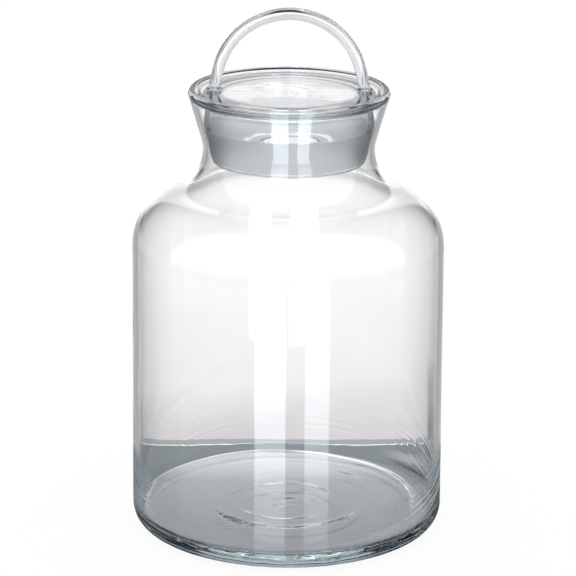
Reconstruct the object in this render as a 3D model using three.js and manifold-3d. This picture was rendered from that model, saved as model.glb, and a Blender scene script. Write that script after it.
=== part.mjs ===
// A blown-glass specimen jar with a ground-glass stopper that lifts out by an arched rod handle.
// Millimetres, +Z up, origin at the centre of the base, the handle's arch in the XZ plane.
import * as THREE from "three";
import { mergeVertices } from "three/addons/utils/BufferGeometryUtils.js";
import Module from "manifold-3d";

const wasm = await Module();
wasm.setup();

// Jar: a straight body on a thick base, a round shoulder, a waisted neck and a flared mouth.
const JAR_HEIGHT = 288;
const BODY_RADIUS = 100;
const BASE_SPREAD = 1;
const BASE_CORNER = 9;
const BASE_THICKNESS = 9.4;
const FLOOR_FILLET = 10;
const SHOULDER_RADIUS = 39.7;
const NECK_FILLET = 26.8;
const WAIST_RADIUS = 54.6;
const WAIST_HEIGHT = 248;
const FLARE_ANGLE = THREE.MathUtils.degToRad(16);
const WALL = 3.2;
const RIM_BEAD = 2.6;

// Stopper: a flat plate on a hollow plug, whose ground cone fits the flare of the mouth.
const CLEARANCE = 0.3;
const PLATE_RADIUS = 58;
const PLATE_THICKNESS = 4;
const PLATE_DROP = 2;
const PLATE_EDGE = 1.8;
const PLUG_WALL = 3.3;
const PLUG_NECK_RADIUS = 52.5;
const PLUG_NECK_FOOT = 272;
const PLUG_ROOT_OUTSIDE = 2;
const PLUG_ROOT_INSIDE = 5;
const CONE_TOP = 266;
const CONE_TOP_ROUND = 3;
const LIP_HEIGHT = 242.65;

// Handle: a glass rod bent to an arch, standing on two pressed feet.
const ROD_RADIUS = 4.1;
const ARCH_RADIUS = 46.1;
const ARCH_CENTRE = 289.3;
const LEG_SPLAY = THREE.MathUtils.degToRad(14);
const FOOT_RADIUS = 4.9;
const FOOT_TOP_RADIUS = 4.3;
const FOOT_HEIGHT = 2.4;
const FOOT_EDGE = 0.6;

// Facets.
const ROUND_SEGMENTS = 56;
const FOOT_SEGMENTS = 24;
const ROD_SIDES = 16;
const ROD_STEPS = 44;

const QUARTER = Math.PI / 2;
const plateTop = JAR_HEIGHT - PLATE_DROP;
const plateBottom = plateTop - PLATE_THICKNESS;

// Glass finishes.
const clearGlass = { color: 0xdfe6e8, roughness: 0.03, metalness: 0, transparent: true, opacity: 0.35 };
const thickGlass = { color: 0xc9d4d6, roughness: 0.05, metalness: 0, transparent: true, opacity: 0.5 };
const groundGlass = { color: 0xc8cdd0, roughness: 0.6, metalness: 0, transparent: true, opacity: 0.8 };

function arc(centreR, centreZ, radius, from, to, steps) {
  const points = [];
  for (let i = 0; i <= steps; i++) {
    const angle = from + ((to - from) * i) / steps;
    const r = centreR + radius * Math.cos(angle);
    const z = centreZ + radius * Math.sin(angle);
    points.push(new THREE.Vector2(r, z));
  }
  return points;
}

function at(r, z) {
  return new THREE.Vector2(r, z);
}

// Turns an outline of (radius, height) points about the Z axis.
function turn(outline, segments) {
  return new THREE.LatheGeometry(outline, segments).rotateX(QUARTER);
}

// Height where the shoulder leaves the straight body, so that its circle touches the neck's circle.
function shoulderStart() {
  const reach = SHOULDER_RADIUS + NECK_FILLET;
  const across = WAIST_RADIUS + NECK_FILLET - BODY_RADIUS + SHOULDER_RADIUS;
  return WAIST_HEIGHT - Math.sqrt(reach * reach - across * across);
}

// Radius of the flare at a height, on the surface that lies inset from the jar's outside.
function flareRadius(z, inset) {
  const footR = WAIST_RADIUS + NECK_FILLET * (1 - Math.cos(FLARE_ANGLE));
  const footZ = WAIST_HEIGHT + NECK_FILLET * Math.sin(FLARE_ANGLE);
  return footR + (z - footZ) * Math.tan(FLARE_ANGLE) - inset / Math.cos(FLARE_ANGLE);
}

// The shoulder and the neck, from the straight body up to the foot of the flare.
function shoulderAndNeck(inset) {
  const startZ = shoulderStart();
  const shoulderR = BODY_RADIUS - SHOULDER_RADIUS;
  const neckR = WAIST_RADIUS + NECK_FILLET;
  const touch = Math.atan2(WAIST_HEIGHT - startZ, neckR - shoulderR);
  const flare = Math.PI - FLARE_ANGLE;
  const shoulder = arc(shoulderR, startZ, SHOULDER_RADIUS - inset, 0, touch, 12);
  const neck = arc(neckR, WAIST_HEIGHT, NECK_FILLET + inset, touch + Math.PI, flare, 9);
  return [...shoulder, ...neck.slice(1)];
}

// The fire-polished bead, from the flare's outside over the top to the flare's inside.
function rimBead() {
  const centreZ = JAR_HEIGHT - RIM_BEAD;
  const centreR = flareRadius(centreZ, RIM_BEAD);
  const sweep = 2 * Math.PI - Math.acos((RIM_BEAD - WALL) / RIM_BEAD);
  return arc(centreR, centreZ, RIM_BEAD, -FLARE_ANGLE, sweep - FLARE_ANGLE, 10);
}

function jarBody() {
  const baseRadius = BODY_RADIUS + BASE_SPREAD;
  const floorRadius = baseRadius - WALL - FLOOR_FILLET;
  const filletZ = BASE_THICKNESS + FLOOR_FILLET;
  const outline = [
    at(0, 0),
    ...arc(baseRadius - BASE_CORNER, BASE_CORNER, BASE_CORNER, -QUARTER, 0, 6),
    ...shoulderAndNeck(0),
    ...rimBead(),
    ...shoulderAndNeck(WALL).reverse(),
    ...arc(floorRadius, filletZ, FLOOR_FILLET, 0, -QUARTER, 6),
    at(0, BASE_THICKNESS),
  ];
  return turn(outline, ROUND_SEGMENTS);
}

function lidPlate() {
  const edgeR = PLATE_RADIUS - PLATE_EDGE;
  const outline = [
    at(0, plateBottom),
    ...arc(edgeR, plateBottom + PLATE_EDGE, PLATE_EDGE, -QUARTER, 0, 4),
    ...arc(edgeR, plateTop - PLATE_EDGE, PLATE_EDGE, 0, QUARTER, 4),
    at(0, plateTop),
  ];
  return turn(outline, ROUND_SEGMENTS);
}

// Radius of the plug's ground cone, parallel to the mouth's flare, on the surface inset from it.
function coneRadius(z, inset) {
  return flareRadius(z, WALL + CLEARANCE + inset);
}

function lidPlug() {
  const half = PLUG_WALL / 2;
  const inside = Math.PI - FLARE_ANGLE;
  const neckInside = PLUG_NECK_RADIUS - PLUG_WALL;
  const shoulderZ = CONE_TOP + CONE_TOP_ROUND * Math.sin(FLARE_ANGLE);
  const shoulderR = coneRadius(shoulderZ, CONE_TOP_ROUND);
  const rootZ = plateBottom - PLUG_ROOT_OUTSIDE;
  const lip = arc(coneRadius(LIP_HEIGHT, half), LIP_HEIGHT, half, inside - 2 * Math.PI, -FLARE_ANGLE, 6);
  const outline = [
    ...lip,
    ...arc(shoulderR, shoulderZ, CONE_TOP_ROUND, -FLARE_ANGLE, QUARTER / 2, 4),
    at(PLUG_NECK_RADIUS, PLUG_NECK_FOOT),
    ...arc(PLUG_NECK_RADIUS + PLUG_ROOT_OUTSIDE, rootZ, PLUG_ROOT_OUTSIDE, Math.PI, QUARTER, 3),
    ...arc(neckInside - PLUG_ROOT_INSIDE, plateBottom - PLUG_ROOT_INSIDE, PLUG_ROOT_INSIDE, QUARTER, 0, 4),
    at(neckInside, PLUG_NECK_FOOT),
    at(coneRadius(CONE_TOP, PLUG_WALL), CONE_TOP),
    lip[0],
  ];
  return turn(outline, ROUND_SEGMENTS);
}

// The rod's centreline: a round arch whose legs run on straight, splayed, down to the plate.
class HandlePath extends THREE.Curve {
  constructor() {
    super();
    const drop = ARCH_CENTRE + ARCH_RADIUS * Math.sin(LEG_SPLAY) - plateTop;
    this.archLength = ARCH_RADIUS * (QUARTER - LEG_SPLAY);
    this.legLength = drop / Math.cos(LEG_SPLAY);
  }

  getPoint(t) {
    const fromTop = (2 * t - 1) * (this.archLength + this.legLength);
    const side = Math.sign(fromTop);
    const bend = Math.min(Math.abs(fromTop), this.archLength) / ARCH_RADIUS;
    const leg = Math.max(Math.abs(fromTop) - this.archLength, 0);
    const x = ARCH_RADIUS * Math.sin(bend) + leg * Math.cos(bend);
    const z = ARCH_CENTRE + ARCH_RADIUS * Math.cos(bend) - leg * Math.sin(bend);
    return new THREE.Vector3(side * x, 0, z);
  }
}

function solidOf(geometry) {
  const bare = geometry.clone().deleteAttribute("normal").deleteAttribute("uv");
  const merged = mergeVertices(bare);
  const vertProperties = merged.attributes.position.array;
  const triVerts = new Uint32Array(merged.index.array);
  return new wasm.Manifold(new wasm.Mesh({ numProp: 3, vertProperties, triVerts }));
}

function geometryOf(solid) {
  const mesh = solid.getMesh();
  const geometry = new THREE.BufferGeometry();
  geometry.setAttribute("position", new THREE.BufferAttribute(mesh.vertProperties, 3));
  geometry.setIndex(new THREE.BufferAttribute(mesh.triVerts, 1));
  geometry.computeVertexNormals();
  return geometry;
}

// The bent rod, with both ends cut level just above the feet.
function handleRod() {
  const section = new THREE.Shape().absarc(0, 0, ROD_RADIUS, 0, 2 * Math.PI);
  const rod = new THREE.ExtrudeGeometry(section, {
    steps: ROD_STEPS,
    curveSegments: ROD_SIDES / 2,
    extrudePath: new HandlePath(),
  });
  const cutHeight = 2 * PLATE_THICKNESS;
  const cutter = new THREE.BoxGeometry(3 * ARCH_RADIUS, 4 * ROD_RADIUS, cutHeight);
  cutter.translate(0, 0, plateTop + FOOT_HEIGHT + CLEARANCE - cutHeight / 2);
  return geometryOf(solidOf(rod).subtract(solidOf(cutter)));
}

// Distance of a foot from the axis, where the leg's centreline meets the foot's top.
function footOffset() {
  const drop = ARCH_CENTRE + ARCH_RADIUS * Math.sin(LEG_SPLAY) - plateTop - FOOT_HEIGHT;
  return ARCH_RADIUS * Math.cos(LEG_SPLAY) + drop * Math.tan(LEG_SPLAY);
}

function handleFoot() {
  const outline = [
    at(0, 0),
    ...arc(FOOT_RADIUS - FOOT_EDGE, FOOT_EDGE, FOOT_EDGE, -QUARTER, QUARTER / 2, 4),
    at(FOOT_TOP_RADIUS, FOOT_HEIGHT),
    at(0, FOOT_HEIGHT),
  ];
  return turn(outline, FOOT_SEGMENTS);
}

function piece(name, geometry, finish) {
  const mesh = new THREE.Mesh(geometry, new THREE.MeshStandardMaterial(finish));
  mesh.name = name;
  return mesh;
}

function stopper() {
  const lid = new THREE.Group();
  lid.add(piece("lid_plate", lidPlate(), clearGlass));
  lid.add(piece("lid_plug", lidPlug(), groundGlass));
  lid.add(piece("handle_rod", handleRod(), clearGlass));
  for (const [name, side] of [["handle_foot_left", -1], ["handle_foot_right", 1]]) {
    const foot = piece(name, handleFoot(), thickGlass);
    foot.position.set(side * footOffset(), 0, plateTop);
    lid.add(foot);
  }
  return lid;
}

const group = new THREE.Group();
group.add(piece("jar_body", jarBody(), clearGlass));
group.add(stopper());

export default group;
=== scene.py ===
import math

import bpy
import numpy as np
from mathutils import Euler, Matrix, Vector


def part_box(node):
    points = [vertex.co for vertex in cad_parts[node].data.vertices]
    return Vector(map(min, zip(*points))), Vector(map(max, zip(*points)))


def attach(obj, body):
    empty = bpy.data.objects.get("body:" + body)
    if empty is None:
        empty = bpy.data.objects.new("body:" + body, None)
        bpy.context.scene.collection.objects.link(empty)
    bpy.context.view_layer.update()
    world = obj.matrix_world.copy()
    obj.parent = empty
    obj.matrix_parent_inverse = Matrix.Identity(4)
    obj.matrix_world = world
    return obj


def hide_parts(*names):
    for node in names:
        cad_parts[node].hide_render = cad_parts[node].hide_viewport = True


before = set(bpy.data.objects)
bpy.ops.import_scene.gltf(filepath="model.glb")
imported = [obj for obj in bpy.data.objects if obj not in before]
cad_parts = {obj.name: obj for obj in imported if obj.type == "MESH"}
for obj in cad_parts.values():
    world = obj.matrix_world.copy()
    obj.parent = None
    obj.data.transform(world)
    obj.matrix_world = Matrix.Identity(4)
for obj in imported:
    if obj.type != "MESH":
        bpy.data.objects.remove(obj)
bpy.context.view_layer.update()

# ---------------------------------------------------------------- sizes, in metres
MM = 0.001
_, jar_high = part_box("jar_body")
plate_low, plate_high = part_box("lid_plate")
plug_low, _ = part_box("lid_plug")
_, rod_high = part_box("handle_rod")
foot_low, foot_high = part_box("handle_foot_right")

JAR_HEIGHT = jar_high.z
BASE_RADIUS = jar_high.x
PLATE_RADIUS = plate_high.x
PLATE_TOP = plate_high.z
PLATE_BOTTOM = plate_low.z
ROD_TOP = rod_high.z
FOOT_OFFSET = (foot_low.x + foot_high.x) / 2
FOOT_RADIUS = foot_high.x - FOOT_OFFSET
FOOT_TOP = foot_high.z
FOOT_GAP = 0.25 * MM
FOOT_EDGE = 0.9 * MM

# Jar, as in the CAD apart from the outside corner and the floor's rim: cove, apron and crease.
BODY_RADIUS = BASE_RADIUS - 1 * MM
BASE_THICKNESS = 9.4 * MM
BASE_CORNER = 9 * MM
CORNER_RISE = 12.5 * MM
COVE_INNER = 93.5 * MM
COVE_FOOT = 0.35 * MM
COVE_RISE = 4.5 * MM
APRON_INNER = 79 * MM
CREASE_RADIUS = 88.5 * MM
CREASE_CENTRE = (-4 * MM, 4.5 * MM)
SHOULDER_RADIUS = 39.7 * MM
NECK_FILLET = 26.8 * MM
WAIST_RADIUS = 54.6 * MM
WAIST_HEIGHT = JAR_HEIGHT - 40 * MM
FLARE = math.radians(16)
WALL = 3.2 * MM
RIM_BEAD = 2.6 * MM

# Stopper, as in the CAD, with a softer curve from the plug's cone to the plate.
CLEARANCE = 0.3 * MM
PLATE_EDGE = 1.8 * MM
PLUG_WALL = 3.3 * MM
PLUG_NECK_RADIUS = 52.5 * MM
PLUG_ROOT_OUTSIDE = 2 * MM
PLUG_ROOT_INSIDE = 5 * MM
CONE_TOP = JAR_HEIGHT - 22 * MM
TAPER_FOOT = JAR_HEIGHT - 27 * MM
TAPER_TOP = JAR_HEIGHT - 9 * MM
GROUND_BOTTOM = JAR_HEIGHT - 44.4 * MM
GROUND_DEPTH = 1.0 * MM
FACE_DEPTH = 0.3 * MM
LIP_CENTRE = plug_low.z + PLUG_WALL / 2

# Handle, as in the CAD, with the rod drawn a little thinner towards its ends.
ROD_RADIUS = rod_high.y
ROD_END_RADIUS = 3.5 * MM
ARCH_RADIUS = 46.1 * MM
ARCH_CENTRE = ROD_TOP - ROD_RADIUS - ARCH_RADIUS
LEG_SPLAY = math.radians(14)
ROUND_END = 3 * MM
TIP_SHARE = 0.62

# Spacing of the points along the outlines. The wall's is finer up to RIPPLE_TOP.
FINE = 0.5 * MM
COARSE = 1.6 * MM
RIPPLE_TOP = 65 * MM

QUARTER = math.pi / 2


# ---------------------------------------------------------------- outlines
def arc(centre_r, centre_z, radius, start, end, steps):
    """Points (r, z) along a round stretch of an outline."""
    angles = np.linspace(start, end, steps + 1)
    return np.stack([centre_r + radius * np.cos(angles), centre_z + radius * np.sin(angles)], 1)


def oval(centre_r, centre_z, half_width, half_height, start, end, steps):
    """Points (r, z) along a stretch of an upright oval."""
    angles = np.linspace(start, end, steps + 1)
    return np.stack([centre_r + half_width * np.cos(angles), centre_z + half_height * np.sin(angles)], 1)


def flare_radius(z, inset):
    """Radius of the mouth's flare at a height, inset from the jar's outside."""
    foot_r = WAIST_RADIUS + NECK_FILLET * (1 - math.cos(FLARE))
    foot_z = WAIST_HEIGHT + NECK_FILLET * math.sin(FLARE)
    return foot_r + (z - foot_z) * math.tan(FLARE) - inset / math.cos(FLARE)


def shoulder_and_neck(inset):
    """The shoulder's circle and the neck's circle, which touch."""
    shoulder_r = BODY_RADIUS - SHOULDER_RADIUS
    neck_r = WAIST_RADIUS + NECK_FILLET
    reach = SHOULDER_RADIUS + NECK_FILLET
    start_z = WAIST_HEIGHT - math.sqrt(reach ** 2 - (neck_r - shoulder_r) ** 2)
    touch = math.atan2(WAIST_HEIGHT - start_z, neck_r - shoulder_r)
    shoulder = arc(shoulder_r, start_z, SHOULDER_RADIUS - inset, 0, touch, 40)
    neck = arc(neck_r, WAIST_HEIGHT, NECK_FILLET + inset, touch + math.pi, math.pi - FLARE, 30)
    return np.concatenate([shoulder, neck[1:]])


def resample(points, spacing):
    """The same outline with points about spacing apart, the first and last kept."""
    points = np.asarray(points, float)
    steps = np.linalg.norm(np.diff(points, axis=0), axis=1)
    along = np.concatenate([[0], np.cumsum(steps)])
    keep = np.concatenate([[True], steps > 1e-9])
    count = max(int(round(along[-1] / spacing)), 2)
    wanted = np.linspace(0, along[-1], count + 1)
    r = np.interp(wanted, along[keep], points[keep, 0])
    z = np.interp(wanted, along[keep], points[keep, 1])
    return np.stack([r, z], 1)


def smooth_outline(points, passes):
    """Rounds off creases in an outline whose ends stay put."""
    points = points.copy()
    for _ in range(passes):
        points[1:-1] = (points[:-2] + 2 * points[1:-1] + points[2:]) / 4
    return points


def join(*parts):
    """One outline from parts that meet end to start."""
    return np.concatenate([parts[0]] + [part[1:] for part in parts[1:]])


def split_at(points, z):
    """An outline that climbs, cut in two at a height."""
    k = int(np.argmax(points[:, 1] > z))
    low, high = points[k - 1], points[k]
    share = (z - low[1]) / (high[1] - low[1])
    middle = (low + (high - low) * share)[None]
    return np.concatenate([points[:k], middle]), np.concatenate([middle, points[k:]])


def jar_outline():
    """Outside from the axis under the base up to the rim, then inside down to the axis on the floor."""
    bead_z = JAR_HEIGHT - RIM_BEAD
    bead_r = flare_radius(bead_z, RIM_BEAD)
    bead_end = 2 * math.pi - FLARE - math.acos((RIM_BEAD - WALL) / RIM_BEAD)
    cove_width = BASE_RADIUS - WALL - COVE_INNER
    cove_top = BASE_THICKNESS + COVE_FOOT + COVE_RISE
    cove = oval(COVE_INNER, cove_top, cove_width, COVE_RISE, 0, -QUARTER, 24)
    base = oval(BASE_RADIUS - BASE_CORNER, CORNER_RISE, BASE_CORNER, CORNER_RISE, -QUARTER, 0, 32)
    bead = arc(bead_r, bead_z, RIM_BEAD, -FLARE, bead_end, 40)
    outside_low, outside_high = split_at(np.concatenate([base[-1:], shoulder_and_neck(0)]), RIPPLE_TOP)
    inside_low, inside_high = split_at(np.concatenate([cove[:1], shoulder_and_neck(WALL)]), RIPPLE_TOP)
    outside = join(
        resample([[0, 0], base[0]], 4 * MM),
        resample(base, FINE),
        resample(outside_low, 0.6 * MM),
        resample(np.concatenate([outside_high, bead[:1]]), COARSE),
        resample(bead, 0.4 * MM),
    )
    inside = join(
        resample(np.concatenate([bead[-1:], inside_high[::-1]]), COARSE),
        resample(inside_low[::-1], 0.8 * MM),
        resample(cove, FINE),
        resample([cove[-1], [APRON_INNER, BASE_THICKNESS], [0, BASE_THICKNESS]], FINE),
    )
    return join(outside, inside), len(outside)


# ---------------------------------------------------------------- unevenness of hot-worked glass
NOISE_WAVES = 14
NOISE_SPREAD = (0.75, 1.35)


def noise_field(seed, wavelength):
    """A smooth random function of position, about -1 to 1, from plane waves in random directions."""
    random = np.random.default_rng(seed)
    directions = random.normal(size=(NOISE_WAVES, 3))
    directions /= np.linalg.norm(directions, axis=1)[:, None]
    lengths = wavelength * random.uniform(*NOISE_SPREAD, NOISE_WAVES)
    phases = random.uniform(0, 2 * math.pi, NOISE_WAVES)

    def field(x, y, z):
        total = 0
        for (dx, dy, dz), length, phase in zip(directions, lengths, phases):
            total = total + np.sin(2 * math.pi * (dx * x + dy * y + dz * z) / length + phase)
        return total / math.sqrt(NOISE_WAVES)
    return field


def bump(value, centre, width):
    """1 at the centre, falling to nothing about two widths away."""
    return np.exp(-((value - centre) / width) ** 2)


def step_down(value, edge, soft):
    """1 below the edge and 0 above it, with a soft change between."""
    return 1 / (1 + np.exp((value - edge) / (soft / 2)))


def around(theta, centre_degrees, width_degrees):
    """A bump in the angle round the axis."""
    gap = np.angle(np.exp(1j * (theta - math.radians(centre_degrees))))
    return np.exp(-(gap / math.radians(width_degrees)) ** 2)


# ---------------------------------------------------------------- meshes
def mesh_object(name, vertices, quads, triangles):
    """An object from arrays of vertices, quads and triangles, shaded smooth."""
    mesh = bpy.data.meshes.new(name)
    corners = np.concatenate([np.asarray(quads, np.int32).ravel(), np.asarray(triangles, np.int32).ravel()])
    sizes = np.concatenate([np.full(len(quads), 4, np.int32), np.full(len(triangles), 3, np.int32)])
    starts = np.concatenate([[0], np.cumsum(sizes)[:-1]]).astype(np.int32)
    mesh.vertices.add(len(vertices))
    mesh.vertices.foreach_set("co", np.asarray(vertices, np.float32).ravel())
    mesh.loops.add(len(corners))
    mesh.loops.foreach_set("vertex_index", corners.astype(np.int32))
    mesh.polygons.add(len(sizes))
    mesh.polygons.foreach_set("loop_start", starts)
    mesh.update(calc_edges=True)
    mesh.validate()
    mesh.shade_smooth()
    piece = bpy.data.objects.new(name, mesh)
    bpy.context.scene.collection.objects.link(piece)
    return piece


def grid_quads(rows, columns):
    """Quads of a grid of vertices that closes round its columns."""
    i = np.arange(rows - 1)[:, None]
    j = np.arange(columns)[None, :]
    k = (j + 1) % columns
    low, high = i * columns, (i + 1) * columns
    return np.stack([low + j, low + k, high + k, high + j], -1).reshape(-1, 4)


def end_caps(count, sides):
    """Triangles that close the first and last of count rings, with the two tips that come after them."""
    j = np.arange(sides)
    k = (j + 1) % sides
    first_tip = np.full(sides, count * sides)
    last = (count - 1) * sides
    first_cap = np.stack([first_tip, k, j], -1)
    last_cap = np.stack([first_tip + 1, last + j, last + k], -1)
    return np.concatenate([first_cap, last_cap])


def turned(name, outline, segments, unevenness):
    """A solid of revolution from an outline that starts and ends on the axis.

    unevenness(theta, r, z) gives how far the glass stands out along the outline's normal. No point
    of a ring goes below or above the outline.
    """
    outline = np.asarray(outline)
    tangent = np.gradient(outline, axis=0)
    tangent /= np.linalg.norm(tangent, axis=1)[:, None]
    normal = np.stack([tangent[:, 1], -tangent[:, 0]], 1)
    theta = np.linspace(0, 2 * math.pi, segments, endpoint=False)[None, :]
    ring_r, ring_z = outline[:, :1], outline[:, 1:]
    shift = unevenness(theta, ring_r, ring_z)
    r = (ring_r + shift * normal[:, :1])[1:-1]
    z = (ring_z + shift * normal[:, 1:])[1:-1]
    rings = np.stack([r * np.cos(theta), r * np.sin(theta), z], -1)
    rings[:, :, 2] = np.clip(rings[:, :, 2], ring_z.min(), ring_z.max())
    count = len(rings)
    tips = [[0, 0, outline[0, 1]], [0, 0, outline[-1, 1] + shift[-1].mean()]]
    vertices = np.concatenate([rings.reshape(-1, 3), tips])
    return mesh_object(name, vertices, grid_quads(count, segments), end_caps(count, segments))


# ---------------------------------------------------------------- camera
CAMERA_DISTANCE = 1.764
CAMERA_HEIGHT = 0.698
CAMERA_PITCH = math.radians(17.09)
CAMERA_ROLL = math.radians(0.395)
CAMERA_LENS = 178.8


def make_camera():
    data = bpy.data.cameras.new("camera")
    data.lens = CAMERA_LENS
    data.sensor_width = 36
    data.clip_start = 0.05
    data.clip_end = 50
    camera = bpy.data.objects.new("camera", data)
    bpy.context.scene.collection.objects.link(camera)
    look = Euler((QUARTER - CAMERA_PITCH, 0, 0)).to_matrix().to_4x4()
    roll = Matrix.Rotation(CAMERA_ROLL, 4, "Z")
    camera.matrix_world = Matrix.Translation((0, -CAMERA_DISTANCE, CAMERA_HEIGHT)) @ look @ roll
    bpy.context.scene.camera = camera


# ---------------------------------------------------------------- node helpers
def add_node(tree, kind, **values):
    node = tree.nodes.new(kind)
    for key, value in values.items():
        setattr(node, key, value)
    return node


def put(tree, socket, value):
    """Links or sets an input socket."""
    if isinstance(value, bpy.types.NodeSocket):
        tree.links.new(value, socket)
    elif socket.type == "RGBA" and len(value) == 3:
        socket.default_value = (*value, 1)
    else:
        socket.default_value = value


def maths(tree, operation, a, b=0.0):
    node = add_node(tree, "ShaderNodeMath", operation=operation)
    put(tree, node.inputs[0], a)
    put(tree, node.inputs[1], b)
    return node.outputs[0]


def times(tree, a, b):
    return maths(tree, "MULTIPLY", a, b)


def length(tree, x, y):
    """The length of the arrow (x, y)."""
    return maths(tree, "SQRT", maths(tree, "ADD", times(tree, x, x), times(tree, y, y)))


def step(tree, value, low, high, out_low=0.0, out_high=1.0):
    """A smooth step of value from out_low at low to out_high at high."""
    node = add_node(tree, "ShaderNodeMapRange", interpolation_type="SMOOTHSTEP")
    put(tree, node.inputs["Value"], value)
    put(tree, node.inputs["From Min"], low)
    put(tree, node.inputs["From Max"], high)
    put(tree, node.inputs["To Min"], out_low)
    put(tree, node.inputs["To Max"], out_high)
    return node.outputs["Result"]


def band(tree, value, low, high, soft):
    """1 where value lies between low and high, 0 outside, with soft edges."""
    rise = step(tree, value, low - soft, low + soft)
    fall = step(tree, value, high - soft, high + soft, 1.0, 0.0)
    return times(tree, rise, fall)


def mix_colour(tree, factor, a, b):
    node = add_node(tree, "ShaderNodeMix", data_type="RGBA")
    colours = [socket for socket in node.inputs if socket.type == "RGBA"]
    put(tree, node.inputs[0], factor)
    put(tree, colours[0], a)
    put(tree, colours[1], b)
    return next(socket for socket in node.outputs if socket.type == "RGBA")


def shades(tree, value, span, stops):
    """A colour from a list of (value, colour), whose values lie inside span."""
    low, high = span
    node = add_node(tree, "ShaderNodeValToRGB")
    put(tree, node.inputs[0], maths(tree, "DIVIDE", maths(tree, "SUBTRACT", value, low), high - low))
    elements = node.color_ramp.elements
    while len(elements) < len(stops):
        elements.new(0.5)
    for element, (stop, colour) in zip(elements, stops):
        element.position = min(max((stop - low) / (high - low), 0), 1)
        element.color = (*colour, 1)
    return node.outputs[0]


# ---------------------------------------------------------------- studio
SOFT_LIGHT = (1.12, 1.12, 1.12)
WHITE = (1.0, 1.0, 1.0)

# Studio wall and table edge as light that comes straight through the glass, by degrees of elevation.
BEHIND = (
    (-70, (0.78, 0.77, 0.78)),
    (-42, (0.78, 0.77, 0.78)),
    (-38, (0.34, 0.37, 0.40)),
    (-30, (0.34, 0.37, 0.40)),
    (-26, (0.78, 0.77, 0.78)),
    (-20.5, (0.66, 0.65, 0.66)),
    (-20.07, (0.70, 0.67, 0.68)),
    (-19.93, (0.78, 0.735, 0.745)),
    (-19.53, (0.86, 0.815, 0.825)),
    (-18.93, (1.07, 1.02, 1.03)),
    (-18.1, (1.10, 1.06, 1.07)),
    (-16.5, (1.18, 1.15, 1.16)),
    (-14, (1.15, 1.11, 1.12)),
    (-12.5, (1.08, 1.05, 1.06)),
    (-10, (0.74, 0.715, 0.72)),
    (40, (0.70, 0.68, 0.69)),
)
# Dark flags beside and behind the jar: (azimuths, elevations, softness, colour), in degrees.
# The glass mirrors SIDE_FLAGS, and FLAGS show straight through it.
SIDE_FLAGS = (
    ((24, 84), (-4, 80), 2, (0.006, 0.010, 0.016)),
    ((-84, -24), (-4, 80), 2, (0.006, 0.010, 0.016)),
)
FLAGS = (
    ((52, 84), (-4, 80), 2, (0.020, 0.028, 0.038)),
    ((-84, -52), (-4, 80), 2, (0.020, 0.028, 0.038)),
    ((-3.5, 5.5), (-46, -22), 1, (0.005, 0.010, 0.020)),
    ((64, 86), (-60, -6), 3, (0.050, 0.070, 0.080)),
    ((9, 60), (-21.5, -19.0), 0.7, (0.240, 0.265, 0.290)),
    ((-60, -12), (-21.5, -19.2), 0.7, (0.450, 0.460, 0.475)),
)

# The room that the glass mirrors, by degrees away from straight behind the jar.
ROOM = (
    (0, (0.95, 0.95, 0.95)),
    (9, (0.85, 0.85, 0.85)),
    (14, (0.45, 0.45, 0.46)),
    (34, (0.38, 0.39, 0.40)),
    (42, (0.14, 0.15, 0.16)),
    (66, (0.12, 0.13, 0.14)),
    (85, (0.28, 0.29, 0.30)),
)
SOFTBOX = (0.96, 0.94, 0.95)
SOFTBOX_EDGE = (-8, 6)

# A bright strip behind the jar: (low, high, softness) in azimuth and in elevation.
BACK_STRIP = (3.0, 3.0, 3.0)
STRIP_AZIMUTHS = (-14, 14, 4)
STRIP_ELEVATIONS = (-10, -1, 1)

# Windows behind the camera: (azimuths, strength). They are dimmer below the table's line, and
# WINDOW_DIM and WINDOW_GLOW give (low, high, strength below, strength above), which add up.
WINDOWS = (((-24, -1), 1.0), ((13, 31), 0.75))
WINDOW_COLOUR = (3.2, 3.5, 3.8)
WINDOW_SOFT = 0.4
WINDOW_ELEVATIONS = (-60, 14, 4)
WINDOW_DIM = (-20.6, -20.2, 0.50, 1.0)
WINDOW_GLOW = (-34, -29, 1.3, 0.0)


def hang_flags(tree, colour, flags, azimuth, elevation):
    """The colour with flags hung in front of it."""
    for (left, right), (bottom, top), soft, shade in flags:
        across = band(tree, azimuth, left, right, soft)
        flag = times(tree, across, band(tree, elevation, bottom, top, soft))
        colour = mix_colour(tree, flag, colour, shade)
    return colour


def light_behind(tree, behind, elevation):
    """The light that comes straight through the glass."""
    colour = shades(tree, elevation, (-90, 90), BEHIND)
    return hang_flags(tree, colour, FLAGS, behind, elevation)


def mirrored_room(tree, behind, facing, elevation):
    """The light that the glass mirrors: walls, softbox, flags, a bright strip and windows."""
    colour = shades(tree, maths(tree, "ABSOLUTE", behind), (0, 180), ROOM)
    colour = mix_colour(tree, step(tree, elevation, *SOFTBOX_EDGE), colour, SOFTBOX)
    colour = hang_flags(tree, colour, SIDE_FLAGS, behind, elevation)
    strip = times(tree, band(tree, behind, *STRIP_AZIMUTHS), band(tree, elevation, *STRIP_ELEVATIONS))
    colour = mix_colour(tree, strip, colour, BACK_STRIP)
    glow = maths(tree, "ADD", step(tree, elevation, *WINDOW_DIM), step(tree, elevation, *WINDOW_GLOW))
    tall = times(tree, band(tree, elevation, *WINDOW_ELEVATIONS), glow)
    for (left, right), share in WINDOWS:
        window = times(tree, band(tree, facing, left, right, WINDOW_SOFT), tall)
        colour = mix_colour(tree, times(tree, window, share), colour, WINDOW_COLOUR)
    return colour


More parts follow.
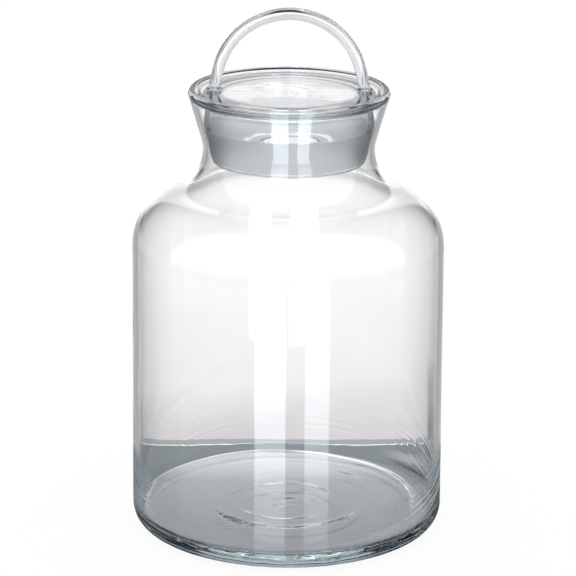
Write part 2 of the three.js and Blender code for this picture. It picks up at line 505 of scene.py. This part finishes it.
def make_world():
    """A white studio. The light through the glass and the light that it mirrors are set apart."""
    world = bpy.data.worlds.new("studio")
    bpy.context.scene.world = world
    world.use_nodes = True
    tree = world.node_tree
    tree.nodes.clear()
    split = add_node(tree, "ShaderNodeSeparateXYZ")
    put(tree, split.inputs[0], add_node(tree, "ShaderNodeTexCoord").outputs["Generated"])
    x, y, z = split.outputs
    degrees = 180 / math.pi
    elevation = times(tree, maths(tree, "ARCSINE", z), degrees)
    behind = times(tree, maths(tree, "ARCTAN2", x, y), degrees)
    facing = times(tree, maths(tree, "ARCTAN2", x, times(tree, y, -1.0)), degrees)
    through = light_behind(tree, behind, elevation)
    room = mirrored_room(tree, behind, facing, elevation)

    path = add_node(tree, "ShaderNodeLightPath")
    mirrored = maths(tree, "GREATER_THAN", path.outputs["Glossy Depth"], 0.5)
    scattered = maths(tree, "GREATER_THAN", path.outputs["Diffuse Depth"], 0.5)
    colour = mix_colour(tree, mirrored, through, room)
    colour = mix_colour(tree, scattered, colour, SOFT_LIGHT)
    colour = mix_colour(tree, path.outputs["Is Camera Ray"], colour, WHITE)
    background = add_node(tree, "ShaderNodeBackground")
    output = add_node(tree, "ShaderNodeOutputWorld")
    put(tree, background.inputs["Color"], colour)
    put(tree, output.inputs["Surface"], background.outputs[0])


# The table top is a round board with a straight back edge, just above the floor and under the jar. It glows
# with painted light and shade.
TABLE_RADIUS = 0.188
TABLE_BACK_EDGE = 0.1455
TABLE_FRONT = 0.106
TABLE_TURN = math.radians(1.6)
TABLE_Z = -0.4 * MM
# The line along the table's back edge is a painted highlight, a thin glowing strip: where it lies, how wide,
# its height and its colour.
TABLE_LINE = 0.1335
TABLE_LINE_WIDTH = 1.4 * MM
TABLE_LINE_Z = -0.3 * MM
TABLE_EDGE_HIGHLIGHT_COLOUR = (1.4, 1.4, 1.4)
TABLE_SPAN = (-0.15, 0.15)
FLOOR_REACH = 6
FLOOR_Z = -0.6 * MM
# The table top's painted light and shade from front to back in metres: painted shade, darker under the front
# of the jar, and painted light that gathers under the back of the jar.
TABLE_LIGHT_AND_SHADE = (
    (-0.145, (0.300, 0.320, 0.335)),
    (-0.106, (0.220, 0.245, 0.265)),
    (-0.095, (0.120, 0.138, 0.155)),
    (-0.020, (0.205, 0.228, 0.250)),
    (0.045, (0.310, 0.330, 0.345)),
    (0.068, (0.560, 0.570, 0.580)),
    (0.084, (0.700, 0.700, 0.705)),
    (0.097, (0.700, 0.700, 0.705)),
    (0.101, (0.235, 0.265, 0.285)),
    (0.130, (0.225, 0.255, 0.280)),
    (0.136, (0.400, 0.420, 0.435)),
    (0.146, (0.440, 0.450, 0.460)),
)
FLOOR_SHADOW = 0.10

# The shadow beside the jar's foot: a ring (low, high, softness) that fades towards the back
# (from, to, strength, strength) and starts where |x| is this share of the radius.
FOOT_SHADOW = (0.010, 0.014, 0.020)
SHADOW_RING = (0.093, 0.110, 0.003)
SHADOW_FADE = (0.0, 0.03, 0.95, 0.0)
SHADOW_SIDES = (0.58, 0.72)

# Light gathered under the floor's crease in a line, and the plain table beyond it.
CREASE_IMAGE = (-4 * MM, 13.2 * MM)
GATHERED_LIGHT = (1.45, 1.45, 1.45)
GATHERED_HALF = 0.7 * MM
GATHERED_SOFT = 0.4 * MM
GATHERED_START = (-0.030, 0.030)
GATHERED_FADE = (0.030, 0.085, 1.0, 0.35)
BEYOND_CREASE = (0.235, 0.265, 0.285)
BEYOND_SOFT = 2 * MM
BEYOND_SPAN = (0.035, 0.130, 0.006)

# Painted shade and painted light on the table beside the jar on its right, a dark ring and a light ring:
# (low, high, colour).
RIGHT_START = (0.070, 0.095)
RIGHT_SOFT = 0.002
RIGHT_SHADE_AND_LIGHT_RINGS = (
    (0.110, 0.124, (0.050, 0.060, 0.070)),
    (0.132, 0.146, (0.480, 0.500, 0.510)),
)


def flat_piece(name, outline, z):
    """A flat stage piece from (x, y) points round its edge, with a material's node tree."""
    mesh = bpy.data.meshes.new(name)
    mesh.from_pydata([(x, y, z) for x, y in outline], [], [tuple(range(len(outline)))])
    piece = bpy.data.objects.new(name, mesh)
    bpy.context.scene.collection.objects.link(piece)
    material = bpy.data.materials.new(name)
    material.use_nodes = True
    piece.data.materials.append(material)
    return piece, material.node_tree


def foot_shadow(tree, x, y):
    """How deep a point of the table lies in the shadow beside the jar's foot, 0 to 1."""
    radius = length(tree, x, y)
    ring = times(tree, band(tree, radius, *SHADOW_RING), step(tree, y, *SHADOW_FADE))
    share = maths(tree, "DIVIDE", maths(tree, "ABSOLUTE", x), radius)
    return times(tree, ring, step(tree, share, *SHADOW_SIDES))


def from_crease_line(tree, x, y):
    """Distance of a point of the table from the middle of the crease's image."""
    across = maths(tree, "SUBTRACT", x, CREASE_IMAGE[0])
    along = maths(tree, "SUBTRACT", y, CREASE_IMAGE[1])
    return length(tree, across, along)


def gathered_line(tree, radius, x, y):
    """How much light gathers in the line under the floor's crease, 0 to 1."""
    line = band(tree, radius, CREASE_RADIUS - GATHERED_HALF, CREASE_RADIUS + GATHERED_HALF, GATHERED_SOFT)
    fade = step(tree, maths(tree, "ABSOLUTE", x), *GATHERED_FADE)
    return times(tree, line, times(tree, step(tree, y, *GATHERED_START), fade))


def light_table(tree, colour, x, y):
    """Painted shadows beside the jar's foot, painted dark and light rings on its right, and painted light
    gathered in a line under the floor's crease.
    """
    radius = from_crease_line(tree, x, y)
    outside = step(tree, radius, CREASE_RADIUS, CREASE_RADIUS + BEYOND_SOFT)
    beyond = times(tree, outside, band(tree, y, *BEYOND_SPAN))
    colour = mix_colour(tree, beyond, colour, BEYOND_CREASE)
    colour = mix_colour(tree, foot_shadow(tree, x, y), colour, FOOT_SHADOW)
    out = length(tree, x, y)
    right = step(tree, x, *RIGHT_START)
    # Painted shade and painted light in rings beside the jar's right.
    for low, high, shade in RIGHT_SHADE_AND_LIGHT_RINGS:
        ring = times(tree, right, band(tree, out, low, high, RIGHT_SOFT))
        colour = mix_colour(tree, ring, colour, shade)
    return mix_colour(tree, gathered_line(tree, radius, x, y), colour, GATHERED_LIGHT)


def board(low, high):
    """The round board's outline between two heights in Y."""
    y = np.linspace(low, high, 60)
    x = np.sqrt(TABLE_RADIUS ** 2 - y ** 2)
    return np.concatenate([np.stack([x, y], 1), np.stack([-x, y], 1)[::-1]]).tolist()


def make_floor():
    """The pale floor that the camera sees, which no glass shows or mirrors."""
    reach = FLOOR_REACH
    corners = [(-reach, -reach), (reach, -reach), (reach, reach), (-reach, reach)]
    floor, tree = flat_piece("floor", corners, FLOOR_Z)
    shader = tree.nodes["Principled BSDF"]
    put(tree, shader.inputs["Base Color"], (FLOOR_SHADOW, FLOOR_SHADOW, FLOOR_SHADOW))
    put(tree, shader.inputs["Roughness"], 1.0)
    put(tree, shader.inputs["Specular IOR Level"], 0.0)
    put(tree, shader.inputs["Emission Color"], WHITE)
    put(tree, shader.inputs["Emission Strength"], 1.0 - FLOOR_SHADOW)
    floor.visible_transmission = False
    floor.visible_glossy = False


def make_table():
    """The table top in two pieces, glowing with painted light and shade, and the painted highlight along its
    back edge. They show only in the glass.
    """
    highlight_shades = ((0, TABLE_EDGE_HIGHLIGHT_COLOUR), (1, TABLE_EDGE_HIGHLIGHT_COLOUR))
    for name, front, back, z, stops in (
        ("table_top", -TABLE_FRONT, TABLE_BACK_EDGE, TABLE_Z, TABLE_LIGHT_AND_SHADE),
        ("table_front", -TABLE_BACK_EDGE, -TABLE_FRONT, TABLE_Z, TABLE_LIGHT_AND_SHADE),
        ("table_edge_highlight", TABLE_LINE, TABLE_LINE + TABLE_LINE_WIDTH, TABLE_LINE_Z, highlight_shades),
    ):
        table, tree = flat_piece(name, board(front, back), z)
        tree.nodes.clear()
        place = add_node(tree, "ShaderNodeSeparateXYZ")
        put(tree, place.inputs[0], add_node(tree, "ShaderNodeTexCoord").outputs["Object"])
        emission = add_node(tree, "ShaderNodeEmission")
        # Painted light and shade on the glowing table, and a painted highlight on its edge strip.
        colour = shades(tree, place.outputs["Y"], TABLE_SPAN, stops)
        if stops is TABLE_LIGHT_AND_SHADE:
            colour = light_table(tree, colour, place.outputs["X"], place.outputs["Y"])
        put(tree, emission.inputs["Color"], colour)
        output = add_node(tree, "ShaderNodeOutputMaterial")
        put(tree, output.inputs["Surface"], emission.outputs[0])
        table.rotation_euler.z = TABLE_TURN
        table.visible_camera = False
        table.visible_diffuse = False
        table.visible_shadow = False
        table.visible_glossy = name != "table_front"


# ---------------------------------------------------------------- glass
CLEAR_TINT = (0.60, 0.68, 0.71)
JAR_DENSITY = 10.0
STOPPER_DENSITY = 14.0
ROD_DENSITY = 6.0
FOOT_DENSITY = 70.0
FOOT_TINT = (0.30, 0.42, 0.42)
GLASS_IOR = 1.5
SMEAR_SCALE = 45.0
SMEAR_DETAIL = 4.0
SMEAR_ROUGHNESS = 0.02
SMEAR_COLOUR = (0.975, 0.985, 0.985)

# Ground glass: fine lines round the cone, and how rough, pale and clear it is.
GRINDING_STRETCH = (60, 60, 2600)
GRINDING_DETAIL = 3.0
GROUND_ROUGHNESS = (0.31, 0.36)
GROUND_COLOUR = (0.72, 0.77, 0.80)
GROUND_SPECULAR = 0.9
GROUND_TRANSMISSION = 0.84


def noise_texture(tree, place, scale, detail):
    node = add_node(tree, "ShaderNodeTexNoise")
    put(tree, node.inputs["Vector"], place)
    put(tree, node.inputs["Scale"], scale)
    put(tree, node.inputs["Detail"], detail)
    return node.outputs["Fac"]


def frost(tree, shader, place, roughness, colour):
    """Roughness and colour of clear glass, changed where the mesh's ground attribute says so."""
    ground = add_node(tree, "ShaderNodeAttribute", attribute_name="ground").outputs["Fac"]
    stretch = add_node(tree, "ShaderNodeMapping")
    put(tree, stretch.inputs["Vector"], place)
    put(tree, stretch.inputs["Scale"], GRINDING_STRETCH)
    grinding = noise_texture(tree, stretch.outputs[0], 1.0, GRINDING_DETAIL)
    mixed = add_node(tree, "ShaderNodeMix")
    put(tree, mixed.inputs[0], ground)
    put(tree, mixed.inputs[2], roughness)
    put(tree, mixed.inputs[3], step(tree, grinding, 0.3, 0.7, *GROUND_ROUGHNESS))
    put(tree, shader.inputs["Specular IOR Level"], GROUND_SPECULAR)
    clear = step(tree, ground, 0.0, 1.0, 1.0, GROUND_TRANSMISSION)
    put(tree, shader.inputs["Transmission Weight"], clear)
    return mixed.outputs[0], mix_colour(tree, ground, colour, GROUND_COLOUR)


def glass_material(name, tint, density, frosted=False):
    """Clear glass with faint smears, and frosted where the mesh's ground attribute says so."""
    material = bpy.data.materials.new(name)
    material.use_nodes = True
    tree = material.node_tree
    shader = tree.nodes["Principled BSDF"]
    put(tree, shader.inputs["Transmission Weight"], 1.0)
    put(tree, shader.inputs["IOR"], GLASS_IOR)
    place = add_node(tree, "ShaderNodeTexCoord").outputs["Object"]
    smears = noise_texture(tree, place, SMEAR_SCALE, SMEAR_DETAIL)
    roughness = step(tree, smears, 0.5, 0.8, 0.0, SMEAR_ROUGHNESS)
    colour = mix_colour(tree, smears, WHITE, SMEAR_COLOUR)
    if frosted:
        roughness, colour = frost(tree, shader, place, roughness, colour)
    put(tree, shader.inputs["Roughness"], roughness)
    put(tree, shader.inputs["Base Color"], colour)
    volume = add_node(tree, "ShaderNodeVolumeAbsorption")
    put(tree, volume.inputs["Color"], tint)
    put(tree, volume.inputs["Density"], density)
    put(tree, tree.nodes["Material Output"].inputs["Volume"], volume.outputs[0])
    return material


def finish_piece(piece, material, body, slot, *nodes):
    """Gives a piece its material and its body, and hides the CAD nodes it stands for; its slot is not used.
    """
    piece.data.materials.append(material)
    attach(piece, body)
    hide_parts(*nodes)


# ---------------------------------------------------------------- jar
# Rings round the foot of the wall: (wavelength, phase, share) of each.
RIPPLE_DEPTH = 0.24 * MM
RIPPLE_SLANT = 20 * MM
RIPPLES = ((5.9 * MM, 0.3, 0.5), (4.1 * MM, 1.9, 0.6), (2.9 * MM, 4.0, 0.35))

# Slow unevenness of the walls, and the finer one of the base's corner.
WALL_DEPTH = 0.030 * MM
CORNER_DEPTH = 0.06 * MM

# Marks in the floor, by height, radius and width.
FLOOR_RING = (0.95 * MM, 47 * MM, 2.2 * MM)
FLOOR_CRUMPLE = (0.6 * MM, 48 * MM, 3 * MM)
INNER_RING = (0.42 * MM, 32 * MM, 1.8 * MM)
RIGHT_ARC = (0.25 * MM, 66 * MM, 1.6 * MM)
DISH_DEPTH = 0.35 * MM
DISH_RADIUS = 30 * MM
SWIRL_HEIGHT = 0.14 * MM
SWIRL_RADIUS = 26 * MM
SWIRL_SPACING = 9 * MM
PIT_DEPTH = 0.5 * MM
PIT_RADIUS = 1.8 * MM
PIT_X = 11 * MM
PIT_Y = 33 * MM
CREASE_HEIGHT = 0.5 * MM
CREASE_INSIDE_WIDTH = 5 * MM
CREASE_OUTSIDE_WIDTH = 1.7 * MM
FLOOR_DEPTH = 0.03 * MM


def lower_ripples(theta, z):
    """Rings left round the foot of the wall, strongest on the right."""
    slip = 0.9 * MM * np.sin(2 * theta + 0.7) + 0.5 * MM * np.sin(5 * theta) - RIPPLE_SLANT * np.sin(theta)
    rings = 0
    for wavelength, phase, share in RIPPLES:
        rings = rings + share * np.sin(2 * math.pi * (z + slip) / wavelength + phase)
    strength = 0.02 + 2.4 * around(theta, -6, 20) + 0.5 * around(theta, -172, 18)
    height = np.where(z < 26 * MM, bump(z, 22 * MM, 16 * MM), bump(z, 26 * MM, 15 * MM))
    return RIPPLE_DEPTH * rings * strength * height


def outside_unevenness(theta, r, z):
    """Unevenness of the jar's outside, none on its flat underside."""
    x, y = r * np.cos(theta), r * np.sin(theta)
    slow = WALL_DEPTH * noise_field(3, 70 * MM)(x, y, z)
    corner = CORNER_DEPTH * noise_field(5, 12 * MM)(x, y, z) * bump(z, 5 * MM, 7 * MM)
    shift = slow + corner + lower_ripples(theta, z)
    return shift * (z > 0.01 * MM) * (1 - bump(r, 0, 60 * MM) * (z < 1 * MM))


def ring_mark(r, mark, centre_shift=0):
    """Height of a ring mark (height, radius, width) in the floor."""
    height, radius, width = mark
    return height * bump(r, radius + centre_shift, width)


def floor_rings(theta, r, x, y, z):
    """Two rings in the floor. The outer one is strongest in front, with a crumpled stretch."""
    front = around(theta, -90, 75)
    crumple = around(theta, -132, 20) * noise_field(7, 5 * MM)(x, y, z)
    ring = ring_mark(r, FLOOR_RING, 1.6 * MM * crumple) * (0.15 + 0.85 * front)
    ring = ring + ring_mark(r, FLOOR_CRUMPLE) * crumple
    inner = ring_mark(r, INNER_RING, 0.6 * MM * np.sin(theta)) * (0.5 + 0.5 * np.sin(theta + 0.5) ** 2)
    return ring + inner


def floor_crease(theta, x, y):
    """The crease round the floor, lower in front."""
    from_crease = np.hypot(x - CREASE_CENTRE[0], y - CREASE_CENTRE[1]) - CREASE_RADIUS
    inside = bump(from_crease, 0, CREASE_INSIDE_WIDTH)
    outside = bump(from_crease, 0, CREASE_OUTSIDE_WIDTH)
    return CREASE_HEIGHT * np.where(from_crease < 0, inside, outside) * (1 - 0.6 * around(theta, -90, 75))


def floor_unevenness(theta, r, z):
    """Rings, swirl, pit and crease in the jar's floor, in metres above it."""
    x, y = r * np.cos(theta), r * np.sin(theta)
    dish = -DISH_DEPTH * bump(r, 0, DISH_RADIUS)
    turn = 2 * math.pi * r / SWIRL_SPACING + 1.5 * theta
    swirl = SWIRL_HEIGHT * np.cos(turn) * bump(r, 0, SWIRL_RADIUS)
    pit = -PIT_DEPTH * np.exp(-((x - PIT_X) ** 2 + (y - PIT_Y) ** 2) / PIT_RADIUS ** 2)
    arc_right = ring_mark(r, RIGHT_ARC) * around(theta, 48, 16)
    slow = FLOOR_DEPTH * noise_field(9, 16 * MM)(x, y, z)
    return floor_rings(theta, r, x, y, z) + dish + swirl + pit + arc_right + floor_crease(theta, x, y) + slow


def make_jar():
    """The jar in one closed mesh."""
    outline, outside_count = jar_outline()

    def unevenness(theta, r, z):
        outside = outside_unevenness(theta, r, z)
        x, y = r * np.cos(theta), r * np.sin(theta)
        wall = WALL_DEPTH * noise_field(4, 60 * MM)(x, y, z)
        on_floor = step_down(r, COVE_INNER + 2 * MM, 1.2 * MM) * (z < 40 * MM)
        inside = wall + floor_unevenness(theta, r, z) * on_floor
        shift = np.where(np.arange(len(r))[:, None] < outside_count, outside, inside)
        widest = (r > BODY_RADIUS) & (shift > 0)
        return np.where(widest, 0, shift)

    jar = turned("jar_glass", outline, 320, unevenness)
    material = glass_material("clear_glass", CLEAR_TINT, JAR_DENSITY)
    finish_piece(jar, material, "jar", "clear_glass", "jar_body")


# ---------------------------------------------------------------- stopper
def cone_radius(z, inset):
    """Radius of the plug's cone at a height, inset from its outside."""
    return flare_radius(z, WALL + CLEARANCE + inset)


def plug_neck(inset):
    """The plug between its cone and the plate, from the cone up."""
    z = np.linspace(TAPER_FOOT, TAPER_TOP, 25)
    share = (1 - np.cos(math.pi * (z - TAPER_FOOT) / (TAPER_TOP - TAPER_FOOT))) / 2
    return np.stack([cone_radius(z, inset) * (1 - share) + (PLUG_NECK_RADIUS - inset) * share, z], 1)


def stopper_outline():
    """Plate and plug in one outline, from the axis under the plate out and round to the axis on top."""
    half = PLUG_WALL / 2
    neck_inside = PLUG_NECK_RADIUS - PLUG_WALL
    root_z = PLATE_BOTTOM - PLUG_ROOT_OUTSIDE
    edge_r = PLATE_RADIUS - PLATE_EDGE
    inside_root = arc(
        neck_inside - PLUG_ROOT_INSIDE, PLATE_BOTTOM - PLUG_ROOT_INSIDE, PLUG_ROOT_INSIDE, QUARTER, 0, 10)
    lip = arc(cone_radius(LIP_CENTRE, half), LIP_CENTRE, half, math.pi - FLARE, 2 * math.pi - FLARE, 12)
    outside_root = arc(PLUG_NECK_RADIUS + PLUG_ROOT_OUTSIDE, root_z, PLUG_ROOT_OUTSIDE, math.pi, QUARTER, 6)
    edge = arc(edge_r, PLATE_BOTTOM + PLATE_EDGE, PLATE_EDGE, -QUARTER, 0, 8)
    edge_top = arc(edge_r, PLATE_TOP - PLATE_EDGE, PLATE_EDGE, 0, QUARTER, 8)
    under = [[0, PLATE_BOTTOM]]
    inside_neck = plug_neck(PLUG_WALL)[::-1]
    outside_neck = plug_neck(0)
    bore = resample(np.concatenate([under, inside_root, inside_neck, lip[:1]]), FINE)
    inside = join(smooth_outline(bore, 60), lip)
    outside = np.concatenate([lip[-1:], outside_neck, outside_root, edge, edge_top, [[0, PLATE_TOP]]])
    inside = resample(inside, FINE)
    outside = resample(outside, FINE)
    return smooth_outline(join(inside, outside), 3), len(inside)


def plate_unevenness(theta, r, z):
    """Waves in the plate's top, with a swirl where the iron came away."""
    x, y = r * np.cos(theta), r * np.sin(theta)
    waves = 0.030 * MM * noise_field(11, 22 * MM)(x, y, z) + 0.004 * MM * noise_field(12, 7 * MM)(x, y, z)
    across, along = x + 2 * MM, y - 1 * MM
    from_swirl = np.sqrt(across ** 2 + along ** 2)
    turn = np.arctan2(along, across)
    swirl = 0.075 * MM * np.cos(2 * math.pi * from_swirl / (8.5 * MM) + turn) * bump(from_swirl, 0, 14 * MM)
    tail = 0.05 * MM * np.sin(2 * math.pi * along / (7 * MM) + 0.4)
    tail = tail * bump(across, 0, 34 * MM) * bump(along, 0, 9 * MM)
    return (waves + swirl + tail) * step_down(r, 53 * MM, 2 * MM)


def mark_ground(stopper):
    """Says in the attribute ground where the cone is frosted, 0 to 1."""
    points = np.empty(len(stopper.data.vertices) * 3, np.float32)
    stopper.data.vertices.foreach_get("co", points)
    x, y, z = points.reshape(-1, 3).T
    outer = np.hypot(x, y) > cone_radius(z, GROUND_DEPTH)
    edge = 0.5 * MM * noise_field(15, 12 * MM)(x, y, z)
    below_top = np.clip((CONE_TOP + 0.5 * edge - z) / (1.2 * MM) + 0.5, 0, 1)
    ground = outer * (z > GROUND_BOTTOM + edge) * below_top
    layer = stopper.data.attributes.new("ground", "FLOAT", "POINT")
    layer.data.foreach_set("value", ground.astype(np.float32))


def make_stopper():
    """Plate and plug in one closed mesh, with waves in both faces of the plate."""
    outline, inside_count = stopper_outline()

    def unevenness(theta, r, z):
        x, y = r * np.cos(theta), r * np.sin(theta)
        on_outside = np.arange(len(r))[:, None] >= inside_count
        on_top = on_outside & (z > PLATE_TOP - FACE_DEPTH)
        under = ~on_outside & (z > PLATE_BOTTOM - FACE_DEPTH)
        wall = 0.03 * MM * noise_field(13, 25 * MM)(x, y, z) * ~on_outside
        waves = plate_unevenness(theta, r, z)
        return np.where(on_top, waves, np.where(under, 0.5 * waves + wall, wall))

    stopper = turned("stopper_glass", outline, 256, unevenness)
    mark_ground(stopper)
    material = glass_material("ground_glass", CLEAR_TINT, STOPPER_DENSITY, frosted=True)
    finish_piece(stopper, material, "lid", "ground_glass", "lid_plate", "lid_plug")


# ---------------------------------------------------------------- handle
ROD_STEPS = 420
ROD_SIDES = 72


def rod_line(distance, arch_length):
    """The rod's centre line by distance from its top: x, z, and the direction out of the arch."""
    side = np.where(distance < 0, -1.0, 1.0)
    bend = np.minimum(abs(distance), arch_length) / ARCH_RADIUS
    leg = np.maximum(abs(distance) - arch_length, 0)
    x = side * (ARCH_RADIUS * np.sin(bend) + leg * np.cos(bend))
    z = ARCH_CENTRE + ARCH_RADIUS * np.cos(bend) - leg * np.sin(bend)
    return x[:, None], z[:, None], (side * np.sin(bend))[:, None], np.cos(bend)[:, None]


def rod_radius(distance, reach):
    """The rod's radius, which thins towards its ends and is rounded at them."""
    radius = ROD_RADIUS + (ROD_END_RADIUS - ROD_RADIUS) * (abs(distance) / reach) ** 2
    from_end = reach - abs(distance)
    round_end = np.sqrt(np.clip(1 - ((ROUND_END - from_end) / ROUND_END) ** 2, 0, 1))
    return radius * np.where(from_end < ROUND_END, TIP_SHARE + (1 - TIP_SHARE) * round_end, 1.0)


def make_handle():
    """The bent rod, faintly wavy, with both ends standing on the feet."""
    arch_length = ARCH_RADIUS * (QUARTER - LEG_SPLAY)
    foot_z = FOOT_TOP + 0.05 * MM
    leg_top = ARCH_CENTRE + ARCH_RADIUS * math.sin(LEG_SPLAY)
    reach = arch_length + (leg_top - foot_z) / math.cos(LEG_SPLAY)
    distance = np.linspace(-reach, reach, ROD_STEPS + 1)
    x, z, out_x, out_z = rod_line(distance, arch_length)
    angle = np.linspace(0, 2 * math.pi, ROD_SIDES, endpoint=False)[None, :]
    wave = 1 + 0.012 * noise_field(21, 26 * MM)(x, np.sin(angle) * ROD_RADIUS, z) - 0.014
    rim = rod_radius(distance, reach)[:, None] * np.minimum(wave, 1)
    rings = np.stack([
        x + rim * np.cos(angle) * out_x,
        -rim * np.sin(angle) * np.ones_like(out_x),
        z + rim * np.cos(angle) * out_z,
    ], -1)
    tips = [[x[0, 0], 0, z[0, 0]], [x[-1, 0], 0, z[-1, 0]]]
    vertices = np.concatenate([rings.reshape(-1, 3), tips])
    vertices[:, 2] = np.maximum(vertices[:, 2], foot_z)
    quads = grid_quads(ROD_STEPS + 1, ROD_SIDES)
    rod = mesh_object("handle_rod_glass", vertices, quads, end_caps(ROD_STEPS + 1, ROD_SIDES))
    material = glass_material("rod_glass", CLEAR_TINT, ROD_DENSITY)
    finish_piece(rod, material, "lid", "rod_glass", "handle_rod")


def make_foot(name, side, node):
    """A flat pressed gather of glass with a round edge, under one end of the rod."""
    low, top = PLATE_TOP + FOOT_GAP, FOOT_TOP
    edge = FOOT_EDGE
    outline = np.concatenate([
        [[0, low]],
        arc(FOOT_RADIUS - edge, low + edge, edge, -QUARTER, 0, 6),
        arc(FOOT_RADIUS - edge, top - edge, edge, 0, QUARTER, 6),
        [[0, top]],
    ])

    def pressed(theta, r, z):
        x, y = r * np.cos(theta), r * np.sin(theta)
        return -0.10 * MM * abs(noise_field(31 + side, 5 * MM)(x, y, z)) * (r > 1 * MM)

    foot = turned(name, smooth_outline(resample(outline, 0.2 * MM), 2), 72, pressed)
    foot.data.transform(Matrix.Translation((side * FOOT_OFFSET, 0, 0)))
    finish_piece(foot, glass_material(name, FOOT_TINT, FOOT_DENSITY), "lid", "foot_glass", node)


# ---------------------------------------------------------------- scene
bpy.context.scene.view_settings.view_transform = "Standard"
bpy.context.scene.cycles.max_bounces = 32
bpy.context.scene.cycles.glossy_bounces = 16
bpy.context.scene.cycles.transmission_bounces = 24
make_camera()
make_world()
make_floor()
make_table()
make_jar()
make_stopper()
make_handle()
make_foot("foot_left_glass", -1, "handle_foot_left")
make_foot("foot_right_glass", 1, "handle_foot_right")
